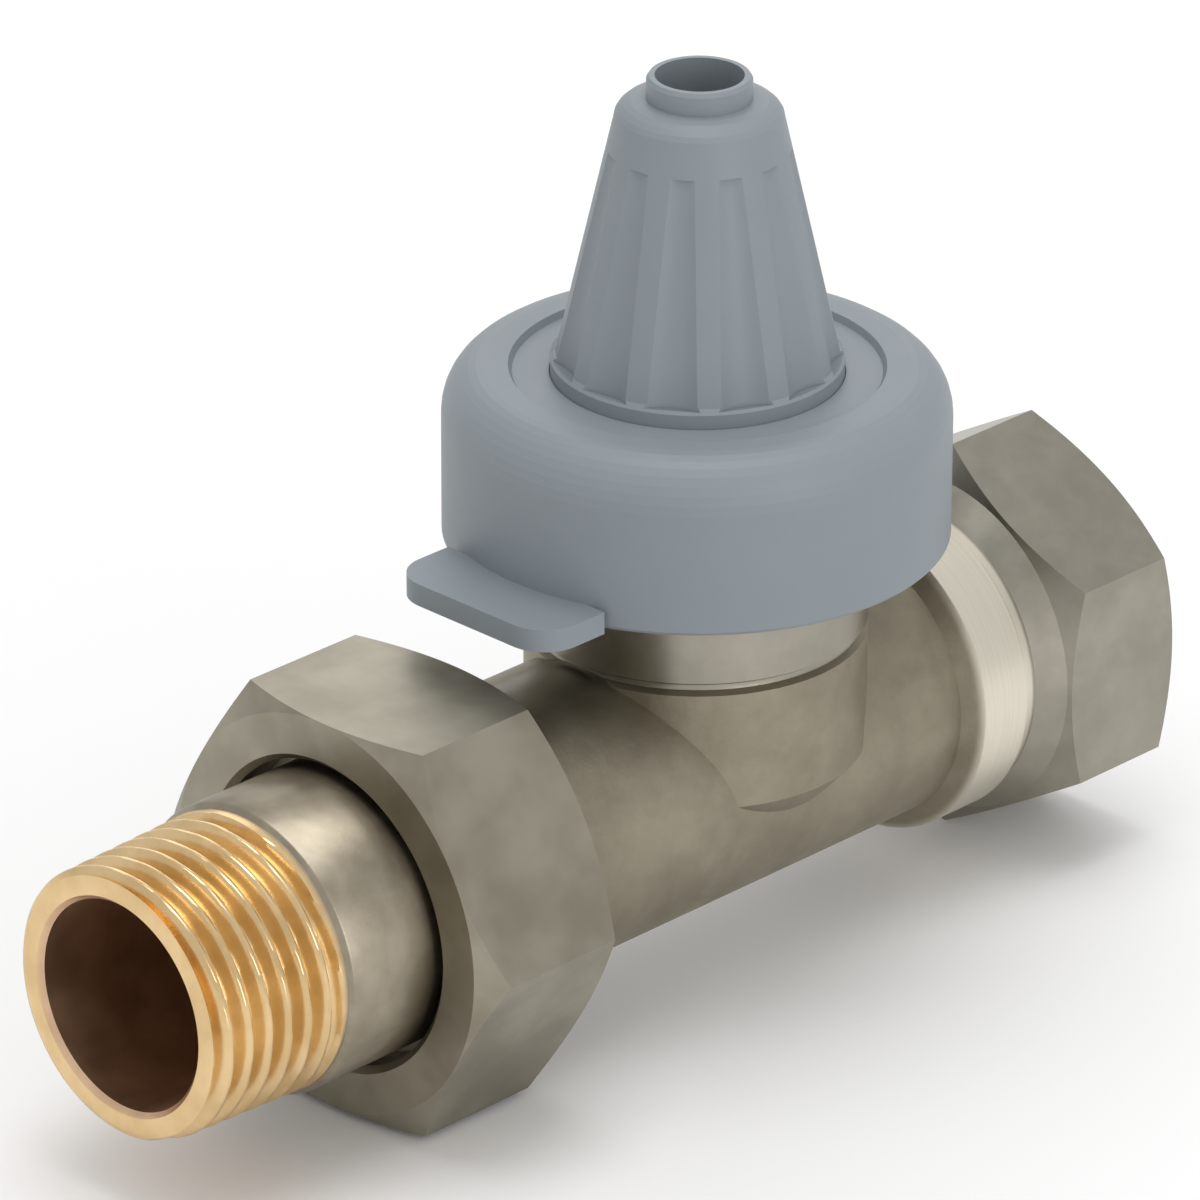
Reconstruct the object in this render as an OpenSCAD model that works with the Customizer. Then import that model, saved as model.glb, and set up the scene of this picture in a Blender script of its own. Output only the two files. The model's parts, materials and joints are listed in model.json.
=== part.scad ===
/* [Body] */
// Distance from the spindle axis to the end face of the hexagon socket
socket_reach = 37.5; // [35:0.5:45]
// Radius of the round barrel
barrel_r = 10.7; // [10.2:0.1:11.4]
// Radius of the waterway through the barrel
waterway_r = 7.8; // [6.8:0.1:8.2]
// Radius of the round neck that carries the valve insert
neck_r = 12.5; // [12:0.1:13.4]
// Height of the top face of the neck above the pipe axis
neck_top = 25; // [24.6:0.1:25.2]
// Crest radius of the thread for the sensor head, M30 x 1.5
head_thread_r = 15; // [14.4:0.1:15.2]
// Length of the thread for the sensor head
head_thread_length = 8; // [6:0.25:9]
// Height of the seat lip above the pipe axis
seat_height = 3; // [2.6:0.1:3.2]
// Radius of the opening in the seat
seat_bore_r = 4.6; // [4:0.1:4.8]

/* [Socket end] */
// Width across flats of the hexagon
socket_af = 27; // [26:0.5:29]
// Length of the hexagon along the pipe
socket_hex_length = 11.5; // [9:0.25:13]
// Wall radius of the socket thread, Rp 1/2 with its grooves filled
socket_bore_r = 10.53; // [10:0.01:10.8]
// Length of the socket thread
socket_thread_length = 13; // [10:0.5:15]
// Radius of the turned band beside the hexagon
band_r = 12.2; // [11.6:0.1:12.8]
// Length of the turned band beside the hexagon
band_length = 4.6; // [3:0.1:5.5]

/* [Union] */
// Distance from the spindle axis to the end of the tailpiece thread
tail_reach = 57.5; // [53:0.5:64]
// Crest radius of the tailpiece thread, R 1/2
tail_thread_r = 10.48; // [10.2:0.01:10.7]
// Length of the tailpiece thread
tail_thread_length = 12.2; // [9:0.2:14]
// Radius of the plain collar behind the tailpiece thread
tail_collar_r = 10.85; // [10.7:0.05:11.1]
// Radius of the bore through the tailpiece
tail_bore_r = 7.85; // [6.8:0.05:8.2]
// Radius of the flange that the union nut pulls against
tail_flange_r = 12.6; // [12.2:0.1:12.9]
// Thickness of the flange that the union nut pulls against
tail_flange_length = 3.1; // [2.4:0.1:4]
// Distance from the spindle axis to the inner edge of the union's cone seat
union_seat_reach = 28.5; // [28:0.1:30]
// Crest radius of the union thread, G 3/4
union_thread_r = 13.22; // [13:0.01:13.4]
// Length of the union thread on the body
union_thread_length = 4.9; // [4:0.1:5.4]
// Width across flats of the union nut
nut_af = 30; // [29:0.5:33]
// Length of the union nut
nut_length = 13; // [12.2:0.1:14]
// Thickness of the end wall of the union nut
nut_wall = 3.4; // [2.6:0.1:4]
// Radius of the hole in the end wall of the union nut
nut_hole_r = 11.45; // [11.3:0.05:11.8]

/* [Insert] */
// Free travel of the spindle from open to shut
stroke = 2; // [1.4:0.1:2.2]
// Radius of the spindle
spindle_r = 2; // [1.7:0.1:2.2]
// Radius of the pressure pin
pin_r = 1.5; // [1.3:0.05:1.6]
// Height of the pin's tip above the neck when the valve is shut
closing_height = 11.8; // [11:0.1:12.5]
// Crest radius of the thread that holds the insert in the neck
insert_thread_r = 10; // [9.8:0.05:10.2]
// Width across flats of the insert's head
insert_af = 19; // [17:0.5:19.4]
// Height of the insert's head
insert_head_height = 2; // [1.6:0.1:2.2]
// Radius of the bore that takes the gland and the spring
gland_bore_r = 5.6; // [5.4:0.05:5.8]
// Width across flats of the gland's head
gland_af = 11; // [10:0.25:11.6]
// Height of the gland's head
gland_head_height = 1.6; // [1.2:0.1:1.9]
// Wire radius of the return spring
spring_wire_r = 0.5; // [0.4:0.05:0.6]
// Radius of the return spring at the middle of its wire
spring_r = 4.2; // [3.6:0.1:4.4]
// Turns of the return spring
spring_turns = 6; // [4:0.5:7]
// Radius of the rubber disc
disc_r = 6.4; // [6.2:0.1:6.8]
// Thickness of the rubber disc
disc_thickness = 2; // [1.6:0.1:2.2]

/* [Cap] */
// Room between the thread on the neck and the skirt around it
skirt_room = 1.4; // [1.2:0.1:2.6]
// Thickness of the skirt's wall
skirt_wall = 2; // [1.4:0.1:2.2]
// Height of the skirt's lower edge above the pipe axis
skirt_bottom = 17.7; // [17.2:0.1:18.4]
// Thickness of the skirt's flat top
skirt_roof = 1.5; // [1.2:0.1:2.2]
// Radius at which the flat top turns into the rounded shoulder
shoulder_r = 15.3; // [14.4:0.1:15.8]
// Height of the rounded shoulder
shoulder_height = 3.7; // [3:0.1:4.5]
// Width of the pull tab
tab_width = 15.6; // [12:0.2:18]
// Distance from the spindle axis to the tip of the pull tab
tab_reach = 23.4; // [21:0.1:25]
// Thickness of the pull tab
tab_thickness = 1.7; // [1.2:0.1:2.4]

/* [Knob] */
// Radius of the knob's round foot
foot_r = 10.6; // [10.3:0.1:11]
// Radius of the fluted cone at its foot
cone_foot_r = 10.2; // [9.8:0.1:10.25]
// Radius of the fluted cone at its top
cone_top_r = 6.1; // [5.8:0.1:6.5]
// Height of the knob's round foot above the skirt
foot_height = 1; // [0.8:0.1:1.6]
// Number of flutes around the cone
flutes = 12; // [8:1:16]
// Depth of the flutes
flute_depth = 0.75; // [0.4:0.05:0.9]
// Angle of the first flute around the knob, from the socket's side
flute_turn = 3.7; // [0:0.1:30]
// Outer radius of the short tube at the knob's top
stub_r = 3.8; // [3.6:0.1:4.4]
// Radius of the hole in the knob's top
stub_hole_r = 3.2; // [2.6:0.1:3.3]
// Height of the short tube above the cone
stub_height = 3.2; // [2.6:0.1:6]
// Height of the knob's top above the pipe axis
knob_top = 53; // [51:0.1:58]
// Crest radius of the plunger's thread
plunger_r = 4.4; // [4.2:0.05:4.6]
// Width across flats of the plunger's hexagon shank
plunger_af = 6.2; // [5.6:0.1:6.4]

/* [Clearances] */
// Radial clearance of a running fit
running = 0.06; // [0.03:0.01:0.1]
// Gap between pieces that pass without touching
gap = 0.1; // [0.06:0.02:0.2]

/* [Hidden] */
$fn = 96;
cut = 1;
hex_point = 1 / cos(30);
chamfer_slope = tan(30);

// The frame stands the valve on its lowest edge, midway along its length
socket_point_r = socket_af / 2 * hex_point;
frame_shift = [(tail_reach - socket_reach) / 2, 0, socket_point_r];

// Stations along the pipe, measured from the spindle axis
union_cone_depth = 2.4;
body_face_x = -union_seat_reach - union_cone_depth;
union_cone_r = 11.1;
union_cone_slope = (union_cone_r - waterway_r) / union_cone_depth;
thread_end_x = body_face_x + union_thread_length;
relief_r = union_thread_r - 1.7;
relief_end_x = thread_end_x + 2;
barrel_start_x = relief_end_x + 1.5;
flange_x = body_face_x - gap - tail_flange_length;
nut_inner_x = flange_x - gap;
nut_face_x = nut_inner_x - nut_wall;
nut_back_x = nut_face_x + nut_length;
tail_face_x = -tail_reach;
tail_thread_x = tail_face_x + tail_thread_length;
hex_x = socket_reach - socket_hex_length;
groove_x = hex_x - 1.4;
band_end_x = groove_x - 1.9;
band_x = band_end_x - band_length;
waterway_end_x = 11;

// Heights in the valve chamber, the disc lying open above the seat
seat_lip = 1;
chamber_floor = seat_height - seat_lip;
chamber_r = 8.6;
passage_r = 4.4;
passage_z = chamber_floor - 1.2 - passage_r;
outlet_r = 3.6;
outlet_z = chamber_floor + 0.1 + outlet_r;
boss_low = 1.2;
boss_foot_r = 3;
groove_z = 10.6;
neck_groove_depth = 0.45;
head_thread_z = neck_top - head_thread_length;
disc_z = seat_height + stroke + gap;
plate_z = disc_z + disc_thickness;
plate_thickness = 1.3;
plate_rim = 0.65;
retainer_thickness = 1.2;
retainer_r = seat_bore_r - 1.2;

// Heights in the insert, which hangs from the top face of the neck
insert_depth = 13;
insert_thread_length = 7.7;
insert_z = neck_top - insert_depth;
insert_shank_r = insert_thread_r - 0.65;
insert_thread_z = neck_top - insert_thread_length;
insert_nose_r = 5.2;
insert_nose_z = plate_z + plate_thickness + 1.1;
bush_r = spindle_r + 1.5;
insert_floor = 0.5;
spring_z = insert_z + insert_floor;
spring_room_r = gland_bore_r - 0.2;
spring_height = 8;
collar_z = spring_z + spring_height;
collar_thickness = 1;
clip_z = collar_z + collar_thickness;
clip_thickness = 0.6;
clip_groove_depth = 0.4;
spindle_top = clip_z + clip_thickness + 0.8;
pin_head_r = pin_r + 0.8;
pin_head_height = 0.6;
ring_section = 0.8;
insert_ring_height = 2.7;
insert_ring_z = insert_z + insert_ring_height;
insert_ring_floor_r = insert_shank_r - 2 * ring_section;
head_top = neck_top + insert_head_height;
gland_low = spindle_top + pin_head_height + 0.1;
gland_room_r = pin_r + 2 * ring_section;
gland_washer_z = gland_low + 0.2;
gland_washer_thickness = 0.7;
gland_ring_z = gland_washer_z + gland_washer_thickness + ring_section;
gland_room_top = gland_ring_z + ring_section + 0.1;
outer_section = 0.5;
outer_ring_z = gland_low + 1.2;
gland_top = head_top + gland_head_height;
pin_top = neck_top + closing_height + stroke;

// Heights in the cap
skirt_inner_r = head_thread_r + skirt_room;
skirt_r = skirt_inner_r + skirt_wall;
guide_flange_r = skirt_inner_r - running;
guide_inner_r = insert_af / 2 * hex_point + 0.45;
guide_plate_z = head_top + 0.3;
guide_plate_top = guide_plate_z + 0.8;
guide_tower_r = gland_af / 2 * hex_point + 1.45;
guide_tower_wall = 0.8;
guide_tower_room = 1.6;
guide_roof = 1.2;
guide_tower_top = gland_top + guide_tower_room + guide_roof;
guide_sleeve_wall = 1.3;
guide_sleeve_height = 1.2;
guide_sleeve_r = plunger_af / 2 * hex_point + guide_sleeve_wall;
guide_sleeve_top = guide_tower_top + guide_sleeve_height;
knob_flange_z = guide_plate_top + gap;
knob_flange_top = knob_flange_z + 0.9;
knob_flange_width = 2.6;
knob_flange_r = foot_r + knob_flange_width;
skirt_ceiling = knob_flange_top + gap;
skirt_top = skirt_ceiling + skirt_roof;
cone_foot = skirt_top + foot_height;
cone_top = knob_top - stub_height;
skirt_recess_r = knob_flange_r + gap;
skirt_recess_depth = 0.45;
skirt_grip_z = skirt_bottom + 1.5;
skirt_grip_height = 1.8;
knob_room_r = guide_tower_r + 0.6;
knob_room_top = guide_sleeve_top + 0.6;
knob_tube_wall = 1.7;
knob_tube_r = plunger_r + knob_tube_wall;
knob_wall = 1.5;
knob_roof = 3.3;
thread_top = cone_top - knob_roof;
dome_height = 1.5;
plunger_thread_z = guide_sleeve_top + stroke + 0.4;
plunger_low = gland_top + stroke + 0.3;
plunger_run_out = 2;
plunger_top = thread_top - plunger_run_out;
pin_touch = 0.05;

// Points of a quarter ellipse from its side to its top, seen in the radius and height plane
function quarter(r, z, dr, dz, steps) =
    [for (i = [0 : steps]) [r + dr * cos(90 * i / steps), z + dz * sin(90 * i / steps)]];

// Centre line of the spring: one flat turn at each end and a rising helix between them
function spring_rise(t) = min(max(t - 0.9, 0), spring_turns - 1.8) / (spring_turns - 1.8);
function spring_point(t, a) = [
    (spring_r + spring_wire_r * cos(a)) * cos(360 * t),
    (spring_r + spring_wire_r * cos(a)) * sin(360 * t),
    spring_z + spring_wire_r + (spring_height - 2 * spring_wire_r) * spring_rise(t) + spring_wire_r * sin(a)
];

// Puts a piece modelled on the valve's own axes into the frame
module placed() {
    translate(frame_shift) children();
}

// Lays a piece that is turned about its own axis along the pipe
module along_pipe(x = 0) {
    translate([x, 0, 0]) rotate([0, 90, 0]) children();
}

// A turned solid from a list of radius and height points
module turned(points) {
    rotate_extrude() polygon(points);
}

// A tube between two heights
module tube(r_out, r_in, z_low, z_high) {
    difference() {
        translate([0, 0, z_low]) cylinder(r = r_out, h = z_high - z_low);
        translate([0, 0, z_low - cut]) cylinder(r = r_in, h = z_high - z_low + 2 * cut);
    }
}

// A round ring of round section
module o_ring(ring_r, section_r, z) {
    rotate_extrude() translate([ring_r, z]) circle(r = section_r, $fn = 32);
}

// A hexagon bar whose corners are turned off at its top, and at its foot too where both ends show
module hex_bar(af, length, face_r, both_ends = true) {
    point_r = af / 2 * hex_point;
    outer = point_r + gap;
    slope = (outer - face_r) * chamfer_slope;
    foot = both_ends ? [[face_r, 0], [outer, slope]] : [[outer, 0]];
    intersection() {
        cylinder(r = point_r, h = length, $fn = 6);
        turned(concat([[0, 0]], foot, [[outer, length - slope], [face_r, length], [0, length]]));
    }
}

// Outside of the barrel, from the union thread to the hexagon
module barrel() {
    along_pipe() turned([
        [0, body_face_x], [union_thread_r - 0.7, body_face_x],
        [union_thread_r, body_face_x + 0.7], [union_thread_r, thread_end_x - 0.5],
        [relief_r, thread_end_x + 0.4], [relief_r, relief_end_x],
        [barrel_r, barrel_start_x], [barrel_r, band_x - 1],
        [band_r, band_x], [band_r, band_end_x],
        [band_r - 0.5, band_end_x + 0.5], [band_r - 0.5, groove_x - 0.5],
        [socket_af / 2 - 0.3, hex_x], [socket_af / 2 - 0.3, hex_x + cut], [0, hex_x + cut]
    ]);
}

// Outside of the forged boss and the neck above it
module neck() {
    turned([
        [0, 1 - barrel_r], [boss_foot_r, 1 - barrel_r],
        [neck_r, boss_low], [neck_r, groove_z - 0.4],
        [neck_r - neck_groove_depth, groove_z - 0.1], [neck_r - neck_groove_depth, groove_z + 0.3],
        [neck_r, groove_z + 0.6], [neck_r, head_thread_z - 0.8],
        [head_thread_r - 0.8, head_thread_z], [head_thread_r, head_thread_z + 0.8],
        [head_thread_r, neck_top - 0.8], [head_thread_r - 0.8, neck_top], [0, neck_top]
    ]);
}

// Waterways, seat and threads inside the body
module body_hollow() {
    along_pipe() turned([
        [0, body_face_x - cut], [union_cone_r + cut, body_face_x - cut],
        [union_cone_r, body_face_x], [waterway_r, -union_seat_reach],
        [waterway_r, -waterway_end_x], [0, -waterway_end_x]
    ]);
    along_pipe() turned([
        [0, waterway_end_x], [waterway_r, waterway_end_x],
        [waterway_r, socket_reach - socket_thread_length - 1.2],
        [socket_bore_r, socket_reach - socket_thread_length],
        [socket_bore_r, socket_reach - 0.6], [socket_bore_r + 0.6, socket_reach],
        [socket_bore_r + 0.6, socket_reach + cut], [0, socket_reach + cut]
    ]);
    translate([0, 0, passage_z]) along_pipe(-waterway_end_x - cut)
        cylinder(r = passage_r, h = waterway_end_x + cut);
    translate([0, 0, outlet_z]) along_pipe() cylinder(r = outlet_r, h = waterway_end_x + cut);
    translate([0, 0, passage_z - passage_r + 0.6])
        cylinder(r = seat_bore_r, h = seat_height - passage_z + passage_r);
    difference() {
        translate([0, 0, chamber_floor]) cylinder(r = chamber_r, h = insert_z - chamber_floor + cut);
        turned([
            [0, chamber_floor - cut], [seat_bore_r + 1.8, chamber_floor - cut],
            [seat_bore_r + 1.5, chamber_floor], [seat_bore_r + 0.5, seat_height], [0, seat_height]
        ]);
    }
    turned([
        [0, insert_z], [insert_shank_r + running, insert_z],
        [insert_shank_r + running, insert_thread_z - 0.3], [insert_thread_r + running, insert_thread_z],
        [insert_thread_r + running, neck_top + cut], [0, neck_top + cut]
    ]);
}

// Forged body with the hexagon socket, the neck, the partition with its seat and the union end
module valve_body() {
    placed() color("#a79f8c") difference() {
        union() {
            barrel();
            neck();
            along_pipe(hex_x) hex_bar(socket_af, socket_hex_length, socket_af / 2 - 0.3);
        }
        body_hollow();
    }
}

// Turned housing of the insert with its hexagon head
module insert_housing() {
    placed() color("#c8a661") difference() {
        union() {
            turned([
                [0, insert_nose_z], [insert_nose_r - 0.5, insert_nose_z],
                [insert_nose_r, insert_nose_z + 0.5], [insert_nose_r, insert_z], [insert_shank_r, insert_z],
                [insert_shank_r, insert_ring_z - ring_section],
                [insert_ring_floor_r, insert_ring_z - ring_section],
                [insert_ring_floor_r, insert_ring_z + ring_section],
                [insert_shank_r, insert_ring_z + ring_section], [insert_shank_r, insert_thread_z],
                [insert_thread_r, insert_thread_z + 0.6], [insert_thread_r, neck_top], [0, neck_top]
            ]);
            translate([0, 0, neck_top]) hex_bar(insert_af, insert_head_height, insert_af / 2 - 0.2, false);
        }
        translate([0, 0, insert_nose_z - cut]) cylinder(r = bush_r, h = spring_z);
        translate([0, 0, spring_z]) cylinder(r = spring_room_r, h = neck_top);
        translate([0, 0, gland_low - 0.4]) cylinder(r = gland_bore_r, h = neck_top);
    }
}

// Rubber ring that seals the insert in the neck
module insert_o_ring() {
    placed() color("#2b2b2b") o_ring(insert_ring_floor_r + ring_section, ring_section, insert_ring_z);
}

// Bush that guides the spindle at the foot of the insert
module spindle_bush() {
    placed() color("#efe9dc") tube(bush_r, spindle_r + running, insert_nose_z, spring_z);
}

// Screwed gland that closes the insert and guides the pin
module gland_nut() {
    shank_r = gland_bore_r - running;
    ring_floor_r = shank_r - 2 * outer_section;
    placed() color("#c8a661") difference() {
        union() {
            turned([
                [0, gland_low], [shank_r, gland_low], [shank_r, outer_ring_z - outer_section],
                [ring_floor_r, outer_ring_z - outer_section], [ring_floor_r, outer_ring_z + outer_section],
                [shank_r, outer_ring_z + outer_section], [shank_r, head_top], [0, head_top]
            ]);
            translate([0, 0, head_top]) hex_bar(gland_af, gland_head_height, gland_af / 2 - 0.2, false);
        }
        translate([0, 0, gland_low - cut])
            cylinder(r = gland_room_r + running, h = gland_room_top - gland_low + cut);
        translate([0, 0, gland_low]) cylinder(r = pin_r + running, h = gland_top);
    }
}

// Rubber ring between the gland and the insert
module gland_outer_ring() {
    placed() color("#2b2b2b") o_ring(gland_bore_r - running - outer_section, outer_section, outer_ring_z);
}

// Rubber ring that wipes the pin
module gland_o_ring() {
    placed() color("#2b2b2b") o_ring(pin_r + running + ring_section, ring_section, gland_ring_z);
}

// Washer that holds the wiping ring in the gland
module gland_washer() {
    washer_top = gland_washer_z + gland_washer_thickness;
    placed() color("#d9d4c6") tube(gland_room_r, pin_r + running, gland_washer_z, washer_top);
}

// Steel pin that the plunger or a sensor head presses
module pressure_pin() {
    placed() color("#b9bdc2") turned([
        [0, spindle_top], [pin_head_r, spindle_top], [pin_head_r, spindle_top + pin_head_height],
        [pin_r, spindle_top + pin_head_height], [pin_r, pin_top - 0.4], [pin_r - 0.4, pin_top], [0, pin_top]
    ]);
}

// Spindle with the groove for its clip and a spread foot below the disc
module spindle() {
    foot_z = disc_z - retainer_thickness;
    placed() color("#c8a661") turned([
        [0, foot_z - 0.6], [spindle_r + 0.3, foot_z - 0.6], [spindle_r + 0.5, foot_z], [spindle_r, foot_z],
        [spindle_r, clip_z], [spindle_r - clip_groove_depth, clip_z],
        [spindle_r - clip_groove_depth, clip_z + clip_thickness], [spindle_r, clip_z + clip_thickness],
        [spindle_r, spindle_top], [0, spindle_top]
    ]);
}

// Open snap ring in the spindle's groove
module spring_clip() {
    slot = 2 * (spindle_r - clip_groove_depth) - 0.4;
    placed() color("#8e9196") difference() {
        tube(spindle_r + 1.2, spindle_r - clip_groove_depth, clip_z, clip_z + clip_thickness);
        translate([0, -slot / 2, clip_z - cut]) cube([spindle_r + 2, slot, clip_thickness + 2 * cut]);
    }
}

// Collar that the return spring lifts
module spring_collar() {
    placed() color("#c8a661") tube(spring_room_r - 0.3, spindle_r, collar_z, clip_z);
}

// Helical return spring, modelled as it stands with the valve open
module return_spring() {
    sides = 8;
    rings = ceil(spring_turns * 14);
    points = [for (i = [0 : rings]) for (j = [0 : sides - 1])
        spring_point(spring_turns * i / rings, 360 * j / sides)];
    skin = [for (i = [0 : rings - 1]) for (j = [0 : sides - 1]) let (next = (j + 1) % sides)
        [i * sides + j, i * sides + next, (i + 1) * sides + next, (i + 1) * sides + j]];
    start = [for (j = [0 : sides - 1]) sides - 1 - j];
    end = [for (j = [0 : sides - 1]) rings * sides + j];
    placed() color("#9a9da1") polyhedron(points, concat(skin, [start, end]));
}

// Brass plate whose rim holds the rubber disc
module valve_plate() {
    placed() color("#c8a661") difference() {
        turned([
            [0, plate_z - 1], [disc_r + plate_rim, plate_z - 1],
            [disc_r + plate_rim, plate_z + plate_thickness - 0.4],
            [disc_r + plate_rim - 0.4, plate_z + plate_thickness], [0, plate_z + plate_thickness]
        ]);
        translate([0, 0, disc_z - cut]) cylinder(r = disc_r, h = disc_thickness + cut);
        translate([0, 0, disc_z]) cylinder(r = spindle_r, h = plate_thickness + disc_thickness + cut);
    }
}

// Rubber disc that shuts on the seat
module seat_disc() {
    placed() color("#2b2b2b") tube(disc_r, spindle_r, disc_z, plate_z);
}

// Washer under the rubber disc
module disc_retainer() {
    placed() color("#c8a661") tube(retainer_r, spindle_r, disc_z - retainer_thickness, disc_z);
}

// Tailpiece with its pipe thread, collar, flange and cone nose
module tailpiece() {
    nose_r = tail_bore_r + 0.4;
    nose_x = -union_seat_reach - gap - (nose_r - waterway_r) / union_cone_slope;
    placed() color("#c9a778") difference() {
        along_pipe() turned([
            [0, tail_face_x], [tail_thread_r - 0.4, tail_face_x], [tail_thread_r, tail_face_x + 0.4],
            [tail_thread_r, tail_thread_x], [tail_collar_r, tail_thread_x + 0.3],
            [tail_collar_r, flange_x], [tail_flange_r - 0.3, flange_x], [tail_flange_r, flange_x + 0.3],
            [tail_flange_r, flange_x + tail_flange_length],
            [union_cone_r, flange_x + tail_flange_length], [nose_r, nose_x], [0, nose_x]
        ]);
        along_pipe(tail_face_x - cut) cylinder(r = tail_bore_r, h = tail_reach + nose_x + 2 * cut);
        along_pipe() turned([
            [0, tail_face_x - cut], [tail_bore_r + 0.5 + cut, tail_face_x - cut],
            [tail_bore_r, tail_face_x + 0.5], [0, tail_face_x + 0.5]
        ]);
    }
}

// Hexagon union nut, threaded over the body and hooked behind the flange
module union_nut() {
    placed() color("#9d9684") difference() {
        along_pipe(nut_face_x) rotate([0, 0, 30]) hex_bar(nut_af, nut_length, nut_af / 2);
        along_pipe(nut_face_x - cut) cylinder(r = nut_hole_r, h = nut_length);
        along_pipe() turned([
            [0, nut_face_x - cut], [nut_hole_r + 0.5 + cut, nut_face_x - cut],
            [nut_hole_r, nut_face_x + 0.5], [0, nut_face_x + 0.5]
        ]);
        along_pipe() turned([
            [0, nut_inner_x], [union_thread_r + running, nut_inner_x],
            [union_thread_r + running, nut_back_x - 0.9], [union_thread_r + 0.9, nut_back_x],
            [union_thread_r + 0.9, nut_back_x + cut], [0, nut_back_x + cut]
        ]);
    }
}

// Flat pull tab at the foot of the skirt, its outer corners rounded
module pull_tab() {
    corner = 3;
    length = tab_reach - skirt_r + skirt_wall / 2;
    height = tab_thickness + 2 * cut;
    translate([-tab_reach, 0, skirt_bottom + tab_thickness / 2]) difference() {
        translate([length / 2, 0, 0]) cube([length, tab_width, tab_thickness], center = true);
        for (side = [-1, 1])
            translate([0, side * tab_width / 2, 0]) difference() {
                cube([2 * corner, 2 * corner, height], center = true);
                translate([corner, -side * corner, 0])
                    cylinder(r = corner, h = height + cut, center = true, $fn = 48);
            }
    }
}

// Snap-on skirt of the cap, open at the top for the knob
module cap_skirt() {
    inner_r = skirt_inner_r;
    grip_r = head_thread_r + running;
    placed() color("#87909a") union() {
        turned(concat(
            [[inner_r, skirt_bottom], [skirt_r - 0.3, skirt_bottom], [skirt_r, skirt_bottom + 0.3]],
            quarter(shoulder_r, skirt_top - shoulder_height, skirt_r - shoulder_r, shoulder_height, 8),
            [
                [skirt_recess_r + 0.3, skirt_top], [skirt_recess_r, skirt_top - skirt_recess_depth],
                [foot_r + running, skirt_top - skirt_recess_depth], [foot_r + running, skirt_ceiling],
                [inner_r, skirt_ceiling], [inner_r, neck_top], [inner_r - 0.35, neck_top - 0.3],
                [inner_r, neck_top - 0.8], [inner_r, skirt_grip_z + skirt_grip_height + 0.6],
                [grip_r, skirt_grip_z + skirt_grip_height], [grip_r, skirt_grip_z],
                [inner_r, skirt_grip_z - 0.6]
            ]
        ));
        pull_tab();
    }
}

// Disc snapped into the skirt, with a tower whose hexagon hole keeps the plunger from turning
module plunger_guide() {
    placed() color("#79828c") difference() {
        turned([
            [guide_inner_r, neck_top], [guide_flange_r, neck_top], [guide_flange_r, guide_plate_top],
            [guide_tower_r, guide_plate_top], [guide_tower_r, guide_tower_top],
            [guide_sleeve_r, guide_tower_top], [guide_sleeve_r, guide_sleeve_top],
            [0, guide_sleeve_top], [0, guide_tower_top - guide_roof],
            [guide_tower_r - guide_tower_wall, guide_tower_top - guide_roof],
            [guide_tower_r - guide_tower_wall, guide_plate_z], [guide_inner_r, guide_plate_z]
        ]);
        translate([0, 0, guide_plate_z])
            cylinder(r = (plunger_af / 2 + running) * hex_point, h = guide_sleeve_top, $fn = 6);
    }
}

// One tapered cutter that follows the slant of the cone
module flute_cutter() {
    height = cone_top - cone_foot;
    slant = atan((cone_foot_r - cone_top_r) / height);
    foot_half = cone_foot_r * sin(180 / flutes) * 0.94;
    top_half = cone_top_r * sin(180 / flutes) * 0.94;
    foot_depth = flute_depth + cone_foot_r * (1 - cos(180 / flutes));
    low_r = (foot_half * foot_half + foot_depth * foot_depth) / (2 * foot_depth);
    high_r = low_r * top_half / foot_half;
    low_centre = cone_foot_r - flute_depth + low_r;
    high_centre = cone_top_r - flute_depth * top_half / foot_half + high_r;
    translate([low_centre, 0, cone_foot + 0.5])
        rotate([0, -atan((low_centre - high_centre) / height), 0])
            cylinder(r1 = low_r, r2 = high_r, h = (height - 2) / cos(slant), $fn = 64);
}

// Fluted turning knob with its captive foot, its threaded tube and the open stub on top
module cap_knob() {
    cone_slope = (cone_foot_r - cone_top_r) / (cone_top - cone_foot);
    pocket_r = cone_foot_r - flute_depth - knob_wall - (knob_room_top - cone_foot) * cone_slope;
    pocket_top = knob_room_top + (pocket_r - knob_tube_r) / cone_slope - 1;
    placed() color("#8b949d") difference() {
        turned(concat(
            [
                [0, knob_flange_z], [knob_flange_r, knob_flange_z], [knob_flange_r, knob_flange_top],
                [foot_r, knob_flange_top], [foot_r, cone_foot - 0.4], [foot_r - 0.3, cone_foot],
                [cone_foot_r, cone_foot]
            ],
            quarter(stub_r, cone_top, cone_top_r - stub_r, dome_height, 6),
            [[stub_r, knob_top - 0.3], [stub_r - 0.2, knob_top], [0, knob_top]]
        ));
        for (i = [0 : flutes - 1])
            rotate([0, 0, flute_turn + i * 360 / flutes]) flute_cutter();
        turned([
            [0, knob_flange_z - cut], [knob_room_r, knob_flange_z - cut], [knob_room_r, knob_room_top],
            [plunger_r + running, knob_room_top], [plunger_r + running, thread_top],
            [stub_hole_r, thread_top + 0.8], [stub_hole_r, knob_top + cut], [0, knob_top + cut]
        ]);
        turned([
            [knob_tube_r, knob_room_top - cut], [pocket_r, knob_room_top - cut], [pocket_r, knob_room_top],
            [knob_tube_r + cone_slope, pocket_top], [knob_tube_r, pocket_top]
        ]);
    }
}

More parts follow.
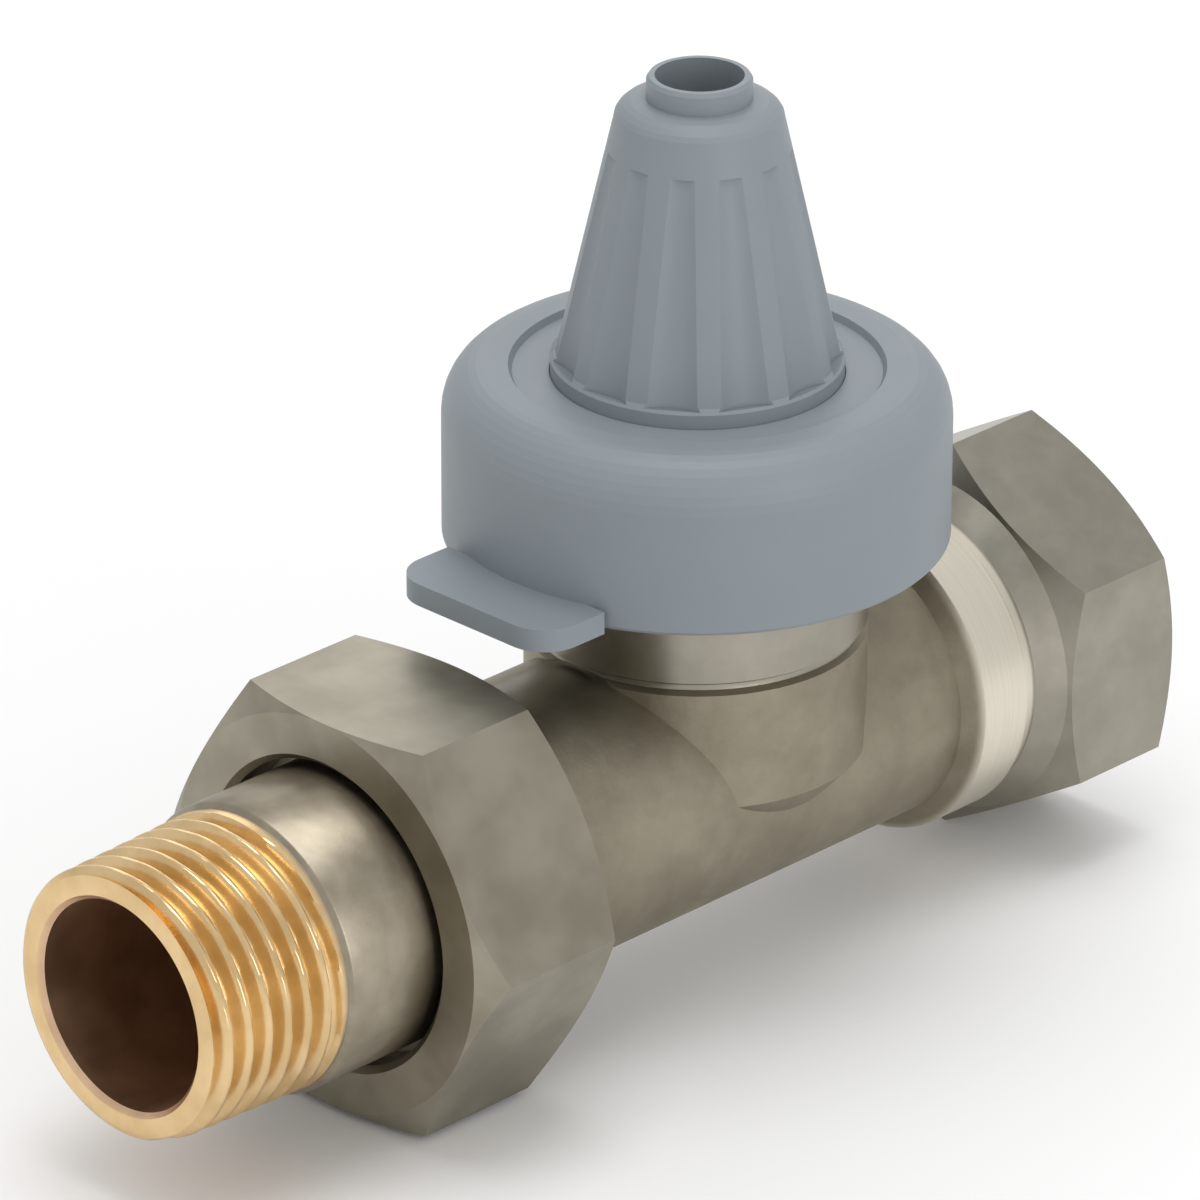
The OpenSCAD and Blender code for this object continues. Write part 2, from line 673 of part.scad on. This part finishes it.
// Threaded plunger with a hollow hexagon shank that reaches over the pin
module plunger() {
    placed() color("#d8d6cf") difference() {
        union() {
            turned([
                [0, plunger_thread_z], [plunger_r - 0.4, plunger_thread_z],
                [plunger_r, plunger_thread_z + 0.4], [plunger_r, plunger_top - 0.4],
                [plunger_r - 0.4, plunger_top], [0, plunger_top]
            ]);
            translate([0, 0, plunger_low])
                cylinder(r = plunger_af / 2 * hex_point, h = plunger_thread_z - plunger_low + cut, $fn = 6);
        }
        translate([0, 0, plunger_low - cut])
            cylinder(r = pin_r + 0.4, h = pin_top + pin_touch - plunger_low + cut);
    }
}

valve_body();
insert_housing();
insert_o_ring();
spindle_bush();
gland_nut();
gland_outer_ring();
gland_o_ring();
gland_washer();
pressure_pin();
spindle();
spring_clip();
spring_collar();
return_spring();
valve_plate();
seat_disc();
disc_retainer();
tailpiece();
union_nut();
cap_skirt();
plunger_guide();
cap_knob();
plunger();
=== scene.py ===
import json
import math

import bpy
import numpy as np
from mathutils import Matrix, Vector


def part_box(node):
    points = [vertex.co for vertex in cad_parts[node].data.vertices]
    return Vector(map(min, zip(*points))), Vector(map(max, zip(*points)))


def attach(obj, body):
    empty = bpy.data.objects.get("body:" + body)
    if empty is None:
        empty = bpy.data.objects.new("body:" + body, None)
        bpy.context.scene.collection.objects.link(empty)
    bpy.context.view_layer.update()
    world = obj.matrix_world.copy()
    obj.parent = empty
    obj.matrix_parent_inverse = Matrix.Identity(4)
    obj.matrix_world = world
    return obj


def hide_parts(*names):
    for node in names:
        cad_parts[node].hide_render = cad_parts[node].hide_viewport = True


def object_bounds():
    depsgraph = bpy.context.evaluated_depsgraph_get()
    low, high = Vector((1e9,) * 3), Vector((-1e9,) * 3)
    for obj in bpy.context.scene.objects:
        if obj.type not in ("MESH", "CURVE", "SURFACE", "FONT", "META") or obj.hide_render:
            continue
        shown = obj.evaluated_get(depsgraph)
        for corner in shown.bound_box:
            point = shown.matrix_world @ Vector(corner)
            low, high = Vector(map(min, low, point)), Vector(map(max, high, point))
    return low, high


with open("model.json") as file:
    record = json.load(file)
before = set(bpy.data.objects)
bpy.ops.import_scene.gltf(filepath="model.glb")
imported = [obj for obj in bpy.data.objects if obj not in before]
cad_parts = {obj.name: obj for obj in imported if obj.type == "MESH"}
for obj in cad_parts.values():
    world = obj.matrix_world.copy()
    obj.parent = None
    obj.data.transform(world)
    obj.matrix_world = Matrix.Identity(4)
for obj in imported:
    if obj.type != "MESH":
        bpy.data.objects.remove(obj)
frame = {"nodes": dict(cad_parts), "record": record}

CAD_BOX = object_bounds()
NODES = frame["nodes"]
MM = 0.001

# Places that the looks are built on, read from the model itself
TAIL_LOW, TAIL_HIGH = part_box("tailpiece")
BODY_LOW, BODY_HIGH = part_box("valve_body")
KNOB_LOW, KNOB_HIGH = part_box("cap_knob")
NUT_LOW, NUT_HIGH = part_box("union_nut")
PIPE_Z = (TAIL_LOW.z + TAIL_HIGH.z) / 2
SPINDLE_X = (KNOB_LOW.x + KNOB_HIGH.x) / 2
BAND_X = SPINDLE_X + 18.1 * MM
BAND_END_X = SPINDLE_X + 23.9 * MM
NECK_GROOVE_Z = PIPE_Z + 10.6 * MM

# Pipe thread, 14 to the inch, and its taper on the radius
PIPE_PITCH = 1.814 * MM
PIPE_DEPTH = 1.16 * MM
PIPE_TAPER = 1 / 32

# Tailpiece
TAIL_THREAD_LENGTH = 12.2 * MM
TAIL_THREAD_R = 10.48 * MM
TAIL_COLLAR_R = 10.85 * MM
TAIL_BORE_R = 7.85 * MM
TAIL_FLANGE_LENGTH = 3.1 * MM
TAIL_NOSE_LENGTH = 2.07 * MM
TAIL_NOSE_R = 8.25 * MM
TAIL_SEAT_R = 11.1 * MM

# Thread inside the hexagon socket
SOCKET_ROOT_R = 10.5 * MM
SOCKET_CREST_R = 9.4 * MM
SOCKET_THREAD_LENGTH = 12.6 * MM


# Shader helpers

class Value:
    """A number or colour that varies over a surface. Sums written on it become Math nodes."""

    def __init__(self, finish, socket):
        self.finish = finish
        self.socket = socket

    def maths(self, operation, *others):
        return self.finish.node("ShaderNodeMath", {"operation": operation}, [self, *others])

    def __add__(self, other):
        return self.maths("ADD", other)

    def __sub__(self, other):
        return self.maths("SUBTRACT", other)

    def __mul__(self, other):
        return self.maths("MULTIPLY", other)

    def __truediv__(self, other):
        return self.maths("DIVIDE", other)

    def __rsub__(self, other):
        return self.finish.node("ShaderNodeMath", {"operation": "SUBTRACT"}, [other, self])

    __radd__ = __add__
    __rmul__ = __mul__

    def between(self, low, high):
        """0 below low and 1 above high, with a soft step; the other way round if high is the lower."""
        sides = [self, low, high, 0.0, 1.0] if low < high else [self, high, low, 1.0, 0.0]
        return self.finish.node("ShaderNodeMapRange", {"interpolation_type": "SMOOTHSTEP"}, sides)


class Finish:
    """A procedural material. Every node comes from node(), which takes its type, settings and inputs."""

    def __init__(self, name, **constants):
        self.material = bpy.data.materials.new(name)
        self.material.use_nodes = True
        self.tree = self.material.node_tree
        self.tree.nodes.clear()
        self.shader = self.tree.nodes.new("ShaderNodeBsdfPrincipled")
        output = self.tree.nodes.new("ShaderNodeOutputMaterial")
        self.tree.links.new(self.shader.outputs["BSDF"], output.inputs["Surface"])
        for socket, value in constants.items():
            self.shader.inputs[socket.replace("_", " ").title()].default_value = value
        self.place = self.node("ShaderNodeTexCoord", output="Object")

    def node(self, kind, settings=None, inputs=(), output=0):
        made = self.tree.nodes.new(kind)
        for setting, value in (settings or {}).items():
            if setting == "stops":
                while len(made.color_ramp.elements) < len(value):
                    made.color_ramp.elements.new(0.5)
                for element, (position, colour) in zip(made.color_ramp.elements, value):
                    element.position = position
                    element.color = (*colour, 1)
            else:
                setattr(made, setting, value)
        pairs = inputs.items() if isinstance(inputs, dict) else enumerate(inputs)
        for socket, value in pairs:
            if isinstance(value, Value):
                self.tree.links.new(value.socket, made.inputs[socket])
            else:
                made.inputs[socket].default_value = value
        return Value(self, made.outputs[output])

    def centred(self, centre, turn=(0, 0, 0), scale=(1, 1, 1)):
        """Object coordinates measured from a point of the piece, turned and stretched."""
        moved = self.node("ShaderNodeVectorMath", {"operation": "SUBTRACT"}, [self.place, centre])
        return self.node(
            "ShaderNodeMapping", {"vector_type": "POINT"}, {"Vector": moved, "Rotation": turn, "Scale": scale}
        )

    def noise(self, size, detail=3.0, roughness=0.5, place=None):
        """Cloudy noise whose patches are about size metres across, from 0 to 1."""
        return self.node(
            "ShaderNodeTexNoise",
            {"noise_dimensions": "3D"},
            {"Vector": place or self.place, "Scale": 1 / size, "Detail": detail, "Roughness": roughness},
        )

    def mix(self, factor, low, high):
        """A colour between two colours."""
        low, high = [(*c, 1) if isinstance(c, tuple) else c for c in (low, high)]
        return self.node("ShaderNodeMix", {"data_type": "RGBA"}, {0: factor, 6: low, 7: high}, output=2)

    def radius(self, centre, axis):
        """Distance from a line through centre along an axis, X or Z."""
        flat = (0, 1, 1) if axis == "X" else (1, 1, 0)
        moved = self.node("ShaderNodeVectorMath", {"operation": "SUBTRACT"}, [self.place, centre])
        dropped = self.node("ShaderNodeVectorMath", {"operation": "MULTIPLY"}, [moved, flat])
        return self.node("ShaderNodeVectorMath", {"operation": "LENGTH"}, [dropped], output=1)

    def axis(self, name):
        return self.node("ShaderNodeSeparateXYZ", None, [self.place], output="XYZ".index(name))

    def bump(self, *layers):
        """Bumps laid over one another. Each layer is its height value and that height in metres."""
        normal = None
        for value, height in layers:
            inputs = {"Height": value, "Distance": height, "Strength": 1.0}
            if normal:
                inputs["Normal"] = normal
            normal = self.node("ShaderNodeBump", None, inputs)
        self.link("Normal", normal)

    def link(self, socket, value):
        self.tree.links.new(value.socket, self.shader.inputs[socket])


# Finishes

def nickel_forging():
    """Nickel plating over a blasted brass forging, with the band, hexagon and neck turned after forging."""
    f = Finish("nickel_forging", metallic=1.0)
    cloud = f.noise(9 * MM, 4, 0.6)
    patches = f.noise(2.5 * MM, 3, 0.6)
    grain = f.noise(0.28 * MM, 2, 0.7)
    band = f.axis("X").between(BAND_X - 0.4 * MM, BAND_X + 0.2 * MM)
    neck = f.axis("Z").between(NECK_GROOVE_Z - 0.4 * MM, NECK_GROOVE_Z + 0.2 * MM)
    turned = f.node("ShaderNodeMath", {"operation": "MAXIMUM"}, [band, neck])
    on_band = band * f.axis("X").between(BAND_END_X + 0.2 * MM, BAND_END_X - 0.2 * MM)
    marks = f.noise(0.2 * MM, 2, 0.6, f.centred((0, 0, PIPE_Z), scale=(1, 0.02, 0.02))) * on_band
    tone = cloud.between(0.35, 0.7) * 0.6 + patches.between(0.3, 0.75) * 0.4
    forged = f.mix(tone, (0.26, 0.23, 0.172), (0.36, 0.325, 0.25))
    milled = f.mix(tone, (0.29, 0.27, 0.222), (0.37, 0.345, 0.29))
    # Painted highlight: the turned band's nickel is far lighter than the rest of the plating, partly for its smoother
    # turned finish and partly as a painted highlight.
    band_finish_and_highlight = f.mix(marks, (0.66, 0.615, 0.51), (0.8, 0.75, 0.64))
    f.link("Base Color", f.mix(on_band, f.mix(turned, forged, milled), band_finish_and_highlight))
    f.link("Roughness", 0.43 + patches * 0.1 + grain * 0.08 - turned * 0.19)
    rough = 1 - turned * 0.85
    f.bump((cloud * rough, 0.12 * MM), (patches * rough, 0.05 * MM), (grain * rough, 0.014 * MM), (marks, 0.006 * MM))
    return f.material


def nickel_turned():
    """Nickel plating over a turned and drawn hexagon nut."""
    f = Finish("nickel_turned", metallic=1.0)
    cloud = f.noise(7 * MM, 3, 0.55)
    rings = f.noise(0.25 * MM, 2, 0.6, f.node("ShaderNodeCombineXYZ", None, [f.radius((0, 0, PIPE_Z), "X")]))
    drawn = f.noise(0.35 * MM, 2, 0.6, f.centred((0, 0, PIPE_Z), scale=(0.03, 1, 1)))
    f.link("Base Color", f.mix(cloud.between(0.3, 0.7), (0.27, 0.245, 0.19), (0.36, 0.335, 0.265)))
    f.link("Roughness", 0.31 + cloud * 0.1 + rings * 0.07)
    f.bump((cloud, 0.05 * MM), (rings * 0.5 + drawn * 0.5, 0.012 * MM))
    return f.material


def tail_metal():
    """Bare brass on the thread and in the bore, nickel plating from the collar on. The brass in the bore is darkened
    as painted shade.
    """
    f = Finish("tail_metal", metallic=1.0)
    along = f.axis("X") - TAIL_LOW.x
    plated = along.between(TAIL_THREAD_LENGTH - 0.5 * MM, TAIL_THREAD_LENGTH + 0.1 * MM)
    radius = f.radius((0, 0, PIPE_Z), "X")
    inside = radius.between(TAIL_BORE_R + 0.5 * MM, TAIL_BORE_R + 0.1 * MM)
    cloud = f.noise(4 * MM, 3, 0.55)
    grain = f.noise(0.2 * MM, 2, 0.6)
    brass = f.mix(cloud.between(0.3, 0.7), (0.68, 0.48, 0.24), (0.82, 0.6, 0.33))
    # Painted shade: the brass in the bore is darker and browner than on the thread.
    bore_shade_brass = f.mix(cloud.between(0.3, 0.7), (0.62, 0.42, 0.27), (0.75, 0.52, 0.35))
    nickel = f.mix(cloud.between(0.3, 0.7), (0.28, 0.245, 0.185), (0.38, 0.335, 0.26))
    f.link("Base Color", f.mix(inside, f.mix(plated, brass, nickel), bore_shade_brass))
    f.link("Roughness", 0.2 + cloud * 0.1 + plated * 0.12 + inside * 0.15)
    f.bump((cloud, 0.03 * MM), (grain, 0.006 * MM))
    return f.material


def plain_metal(name, low, high, rough, centre, axis):
    """Turned metal whose tool marks run round an axis."""
    f = Finish(name, metallic=1.0)
    cloud = f.noise(3 * MM, 3, 0.5)
    round_axis = f.node("ShaderNodeCombineXYZ", None, [f.radius(centre, axis), 0, f.axis(axis)])
    marks = f.noise(0.12 * MM, 2, 0.6, round_axis)
    f.link("Base Color", f.mix(cloud.between(0.3, 0.7), low, high))
    f.link("Roughness", rough + marks * 0.12)
    f.bump((marks, 0.008 * MM))
    return f.material


def moulded(name, low, high, rough, grain_height):
    """Moulded plastic or rubber with a fine grain and a faint cloud of tone."""
    f = Finish(name)
    cloud = f.noise(14 * MM, 3, 0.5)
    grain = f.noise(0.22 * MM, 2, 0.6)
    flow = f.noise(3.5 * MM, 2, 0.5)
    f.link("Base Color", f.mix(cloud * 0.7 + flow * 0.3, low, high))
    f.link("Roughness", rough + flow * 0.08 + grain * 0.06)
    f.bump((flow, 0.02 * MM), (grain, grain_height))
    return f.material


# Meshes

def lathe(name, rows, segments):
    """A closed ring turned about the Z axis. Each row is radius, height and, on a thread, its crest radius."""
    rows = np.array([(r, z, crest or 0) for r, z, crest in rows])
    angles = np.linspace(0, 2 * math.pi, segments, endpoint=False)
    count = len(rows)
    points = np.zeros((count, segments, 3))
    points[..., 0] = rows[:, :1] * np.cos(angles)
    points[..., 1] = rows[:, :1] * np.sin(angles)
    points[..., 2] = rows[:, 1:2]
    faces = [
        (
            i * segments + j,
            i * segments + (j + 1) % segments,
            (i + 1) % count * segments + (j + 1) % segments,
            (i + 1) % count * segments + j,
        )
        for i in range(count)
        for j in range(segments)
    ]
    mesh = bpy.data.meshes.new(name)
    mesh.from_pydata(points.reshape(-1, 3).tolist(), [], faces)
    crest = mesh.attributes.new("crest", "FLOAT", "POINT")
    crest.data.foreach_set("value", np.repeat(rows[:, 2], segments).astype(np.float32))
    piece = bpy.data.objects.new(name, mesh)
    bpy.context.scene.collection.objects.link(piece)
    return piece


def thread_tree():
    """Cuts a thread into a turned mesh, wherever its crest radius is set."""
    tree = bpy.data.node_groups.new("cut_thread", "GeometryNodeTree")
    tree.interface.new_socket("Mesh", in_out="INPUT", socket_type="NodeSocketGeometry")
    for name in ("Pitch", "Depth", "Side"):
        tree.interface.new_socket(name, in_out="INPUT", socket_type="NodeSocketFloat")
    tree.interface.new_socket("Finish", in_out="INPUT", socket_type="NodeSocketMaterial")
    tree.interface.new_socket("Mesh", in_out="OUTPUT", socket_type="NodeSocketGeometry")
    start = tree.nodes.new("NodeGroupInput")
    end = tree.nodes.new("NodeGroupOutput")

    def add(kind, inputs, output=0, **settings):
        made = tree.nodes.new(kind)
        for setting, value in settings.items():
            setattr(made, setting, value)
        for socket, value in inputs.items():
            if isinstance(value, bpy.types.NodeSocket):
                tree.links.new(value, made.inputs[socket])
            else:
                made.inputs[socket].default_value = value
        return made.outputs[output]

    def maths(operation, *values):
        return add("ShaderNodeMath", dict(enumerate(values)), operation=operation)

    pitch, depth, side = (start.outputs[n] for n in ("Pitch", "Depth", "Side"))
    crest = add("GeometryNodeInputNamedAttribute", {"Name": "crest"}, data_type="FLOAT")
    position = add("GeometryNodeInputPosition", {})
    split = tree.nodes.new("ShaderNodeSeparateXYZ")
    tree.links.new(position, split.inputs[0])
    x, y, z = split.outputs
    radius = maths("SQRT", maths("ADD", maths("MULTIPLY", x, x), maths("MULTIPLY", y, y)))
    turns = maths("DIVIDE", maths("ARCTAN2", y, x), 2 * math.pi)
    phase = maths("FRACT", maths("SUBTRACT", maths("DIVIDE", z, pitch), turns))
    flank = maths("ABSOLUTE", maths("SUBTRACT", maths("MULTIPLY", phase, 2.0), 1.0))
    ridge = add(
        "ShaderNodeMapRange", {0: flank, 1: 0.1, 2: 0.9, 3: 1.0, 4: 0.0}, interpolation_type="SMOOTHSTEP"
    )
    # The thread never stands out past the turned shape: its chamfer and its run-out stay
    cut_r = maths("SUBTRACT", maths("MULTIPLY", side, crest), maths("MULTIPLY", depth, ridge))
    new_r = maths("MULTIPLY", side, maths("MINIMUM", maths("MULTIPLY", side, radius), cut_r))
    grow = maths("DIVIDE", new_r, radius)
    moved = add("ShaderNodeCombineXYZ", {0: maths("MULTIPLY", x, grow), 1: maths("MULTIPLY", y, grow), 2: z})
    on_thread = add("FunctionNodeCompare", {0: crest, 1: 0.0}, operation="GREATER_THAN")
    threaded = add("GeometryNodeSetPosition", {0: start.outputs["Mesh"], 1: on_thread, 2: moved})
    real = add("GeometryNodeRealizeInstances", {0: threaded})
    painted = add("GeometryNodeSetMaterial", {0: real, 2: start.outputs["Finish"]})
    tree.links.new(painted, end.inputs[0])
    return tree


def set_inputs(modifier, **values):
    """Sets a Geometry Nodes modifier's inputs by their sockets' identifiers."""
    for item in modifier.node_group.interface.items_tree:
        if item.in_out == "INPUT" and item.name in values:
            modifier[item.identifier] = values[item.name]


def along_pipe(x):
    """Turns a mesh made about the Z axis to lie along the pipe, with its height 0 at x."""
    return Matrix.Translation((x, 0, PIPE_Z)) @ Matrix.Rotation(math.radians(90), 4, "Y")


def finished(piece, place, smooth=35):
    """The evaluated piece as a plain mesh, in its place, with its object at the origin."""
    bpy.context.view_layer.update()
    graph = bpy.context.evaluated_depsgraph_get()
    mesh = bpy.data.meshes.new_from_object(piece.evaluated_get(graph))
    piece.modifiers.clear()
    piece.data = mesh
    mesh.transform(place)
    mesh.shade_smooth()
    mesh.set_sharp_from_angle(angle=math.radians(smooth))
    mesh.update()
    return piece


def threaded(name, rows, side, pitch, depth, finish, place, segments=160):
    piece = lathe(name, rows, segments)
    modifier = piece.modifiers.new("thread", "NODES")
    modifier.node_group = CUT_THREAD
    set_inputs(modifier, Pitch=pitch, Depth=depth, Side=side, Finish=finish)
    return finished(piece, place)


def stretch(start, end, steps):
    return [start + (end - start) * i / steps for i in range(steps + 1)]


def tail_rows():
    """Profile of the tailpiece, from the thread's end face to the nose and back through the bore."""
    length = TAIL_HIGH.x - TAIL_LOW.x
    flange_start = length - TAIL_NOSE_LENGTH - TAIL_FLANGE_LENGTH
    flange_r = TAIL_HIGH.y
    chamfer = 0.45 * MM
    fade = 0.8 * PIPE_PITCH
    face_r = TAIL_THREAD_R - TAIL_THREAD_LENGTH * PIPE_TAPER
    rows = [(TAIL_BORE_R + 0.35 * MM, 0, None), (face_r - chamfer - 0.35 * MM, 0, None)]
    rows += [(face_r - chamfer, 0.04 * MM, None)]
    for z in stretch(chamfer / 2, TAIL_THREAD_LENGTH, 108):
        crest = face_r + z * PIPE_TAPER
        run_out = max(0, z - TAIL_THREAD_LENGTH + fade) / fade
        rows.append((min(crest, face_r - chamfer + z), z, crest + run_out * PIPE_DEPTH))
    rows += [(TAIL_COLLAR_R - 0.1 * MM, TAIL_THREAD_LENGTH + 0.2 * MM, None)]
    rows += [(TAIL_COLLAR_R, TAIL_THREAD_LENGTH + 0.35 * MM, None), (TAIL_COLLAR_R, flange_start, None)]
    rows += [(flange_r - 0.3 * MM, flange_start, None), (flange_r, flange_start + 0.3 * MM, None)]
    rows += [(flange_r, length - TAIL_NOSE_LENGTH, None), (TAIL_SEAT_R, length - TAIL_NOSE_LENGTH, None)]
    rows += [(TAIL_NOSE_R, length, None), (TAIL_BORE_R, length, None)]
    rows += [(TAIL_BORE_R, z, None) for z in stretch(length - 2 * MM, 0.4 * MM, 6)]
    return rows


def socket_rows():
    """Profile of the ridges of the socket's thread, which stand inward from the wall."""
    rows = []
    fade = 1.2 * PIPE_PITCH
    for z in stretch(0, SOCKET_THREAD_LENGTH, 112):
        run_in = min(1, (SOCKET_THREAD_LENGTH - z) / fade, z / fade)
        crest = SOCKET_CREST_R + (SOCKET_ROOT_R - SOCKET_CREST_R) * (1 - run_in)
        rows.append((crest, z, crest))
    return rows + [(SOCKET_ROOT_R + 0.02 * MM, SOCKET_THREAD_LENGTH, None), (SOCKET_ROOT_R + 0.02 * MM, 0, None)]


# Pieces

nickel = nickel_forging()
turned_nickel = nickel_turned()
tail_finish = tail_metal()
spindle_axis = (SPINDLE_X, 0, 0)
brass = plain_metal("turned_brass", (0.72, 0.47, 0.2), (0.82, 0.58, 0.28), 0.22, spindle_axis, "Z")
steel = plain_metal("bright_steel", (0.5, 0.5, 0.52), (0.62, 0.62, 0.64), 0.2, spindle_axis, "Z")
rubber = moulded("black_rubber", (0.02, 0.02, 0.02), (0.035, 0.035, 0.034), 0.6, 0.01 * MM)
cap_grey = moulded("cap_grey", (0.205, 0.233, 0.257), (0.235, 0.265, 0.288), 0.42, 0.006 * MM)
pale = moulded("pale_plastic", (0.68, 0.66, 0.6), (0.76, 0.74, 0.69), 0.38, 0.005 * MM)

SLOT_FINISH = {
    "plated_body": nickel,
    "plated_nut": turned_nickel,
    "tail_brass": tail_finish,
    "brass": brass,
    "steel": steel,
    "rubber": rubber,
    "grey_plastic": cap_grey,
    "pale_plastic": pale,
}
for part in frame["record"]["subparts"]:
    materials = NODES[part["node"]].data.materials
    materials.clear()
    materials.append(SLOT_FINISH[part["material_slot"]])

CUT_THREAD = thread_tree()

tail = threaded("threaded_tail", tail_rows(), 1, PIPE_PITCH, PIPE_DEPTH, tail_finish, along_pipe(TAIL_LOW.x))
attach(tail, "tail")
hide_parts("tailpiece")

socket_thread_x = BODY_HIGH.x - SOCKET_THREAD_LENGTH - 0.4 * MM
socket_thread = threaded(
    "socket_thread", socket_rows(), -1, PIPE_PITCH, PIPE_DEPTH * 0.9, nickel, along_pipe(socket_thread_x)
)
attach(socket_thread, "housing")


# Floor, light and camera

def studio_floor():
    f = Finish("studio_floor", roughness=0.6)
    shade = f.noise(0.4, 2, 0.5)
    f.link("Base Color", f.mix(shade, (0.88, 0.88, 0.88), (0.91, 0.91, 0.91)))
    size = 3.0
    mesh = bpy.data.meshes.new("floor")
    corners = [(-size, -size, 0), (size, -size, 0), (size, size, 0), (-size, size, 0)]
    mesh.from_pydata([(x, y, CAD_BOX[0][2]) for x, y, _ in corners], [], [(0, 1, 2, 3)])
    mesh.materials.append(f.material)
    floor = bpy.data.objects.new("floor", mesh)
    bpy.context.scene.collection.objects.link(floor)


def softbox(name, place, target, width, height, power, colour=(1, 1, 1)):
    light = bpy.data.lights.new(name, "AREA")
    light.shape = "RECTANGLE"
    light.size, light.size_y = width, height
    light.energy = power
    light.color = colour
    lamp = bpy.data.objects.new(name, light)
    lamp.location = place
    lamp.rotation_euler = (Vector(target) - Vector(place)).to_track_quat("-Z", "Y").to_euler()
    bpy.context.scene.collection.objects.link(lamp)


def studio_camera():
    """The camera as it was found by fitting the photograph: its turn, height, distance and lens."""
    turn, rise, roll = math.radians(44.44), math.radians(25.24), math.radians(0.17)
    distance = 0.69645
    target = Vector((0.00348, 0.00332, 0.028608))
    ahead = Vector((math.cos(rise) * math.cos(turn), math.cos(rise) * math.sin(turn), -math.sin(rise)))
    camera = bpy.data.cameras.new("camera")
    camera.sensor_width = 36
    camera.lens = 289.28
    view = bpy.data.objects.new("camera", camera)
    level = ahead.to_track_quat("-Z", "Y")
    view.rotation_euler = (level.to_matrix() @ Matrix.Rotation(roll, 3, "Z")).to_euler()
    view.location = target - ahead * distance
    bpy.context.scene.collection.objects.link(view)
    bpy.context.scene.camera = view


def studio_light():
    world = bpy.data.worlds.new("studio")
    world.use_nodes = True
    world.node_tree.nodes["Background"].inputs["Color"].default_value = (1, 1, 1, 1)
    world.node_tree.nodes["Background"].inputs["Strength"].default_value = 0.76
    bpy.context.scene.world = world
    middle = (0, 0, 0.03)
    softbox("overhead", (0.02, -0.03, 0.85), middle, 0.5, 0.5, 2.6)
    softbox("side", (-0.12, -0.74, 0.19), middle, 0.3, 0.5, 1.3)
    softbox("back", (0.58, 0.57, 0.42), middle, 0.5, 0.5, 0.7)


studio_floor()
studio_light()
studio_camera()
bpy.context.scene.view_settings.view_transform = "Standard"
